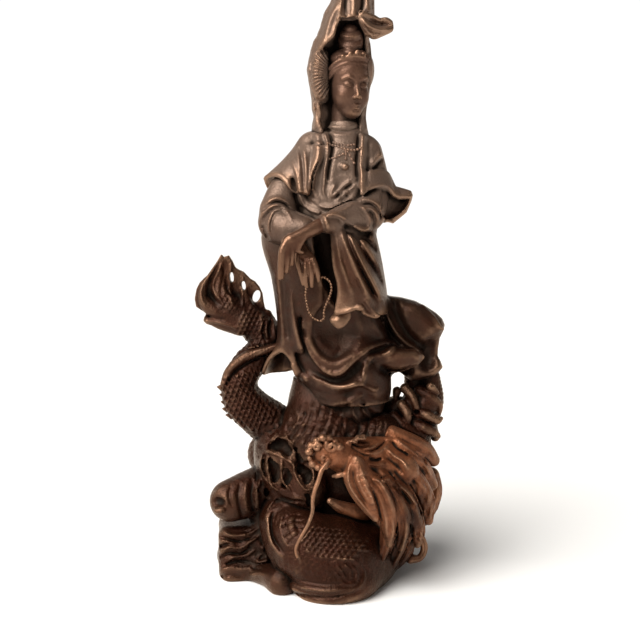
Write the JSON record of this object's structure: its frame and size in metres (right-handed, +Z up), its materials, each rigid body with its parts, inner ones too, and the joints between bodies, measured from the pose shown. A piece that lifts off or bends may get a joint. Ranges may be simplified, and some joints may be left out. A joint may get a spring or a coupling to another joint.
{
  "type": "guanyin figure",
  "caption": "Cast metal statuette of a veiled guanyin who stands on the head of a coiled dragon above rocks and waves, with crossed hands and a rosary.",
  "frame": {"origin": "middle of the bounding box on the table, under the base", "axes": "+Z up to the top of the veil, -Y towards the viewer of the front, +X to that viewer's right"},
  "size_m": [0.1294, 0.1014, 0.3],
  "materials": {
    "patinated_bronze": "cast bronze with a brown patina, worn golden on the raised edges and nearly black in the hollows"
  },
  "bodies": {
    "root": {"guanyin_on_dragon": "patinated_bronze"}
  },
  "joints": []
}
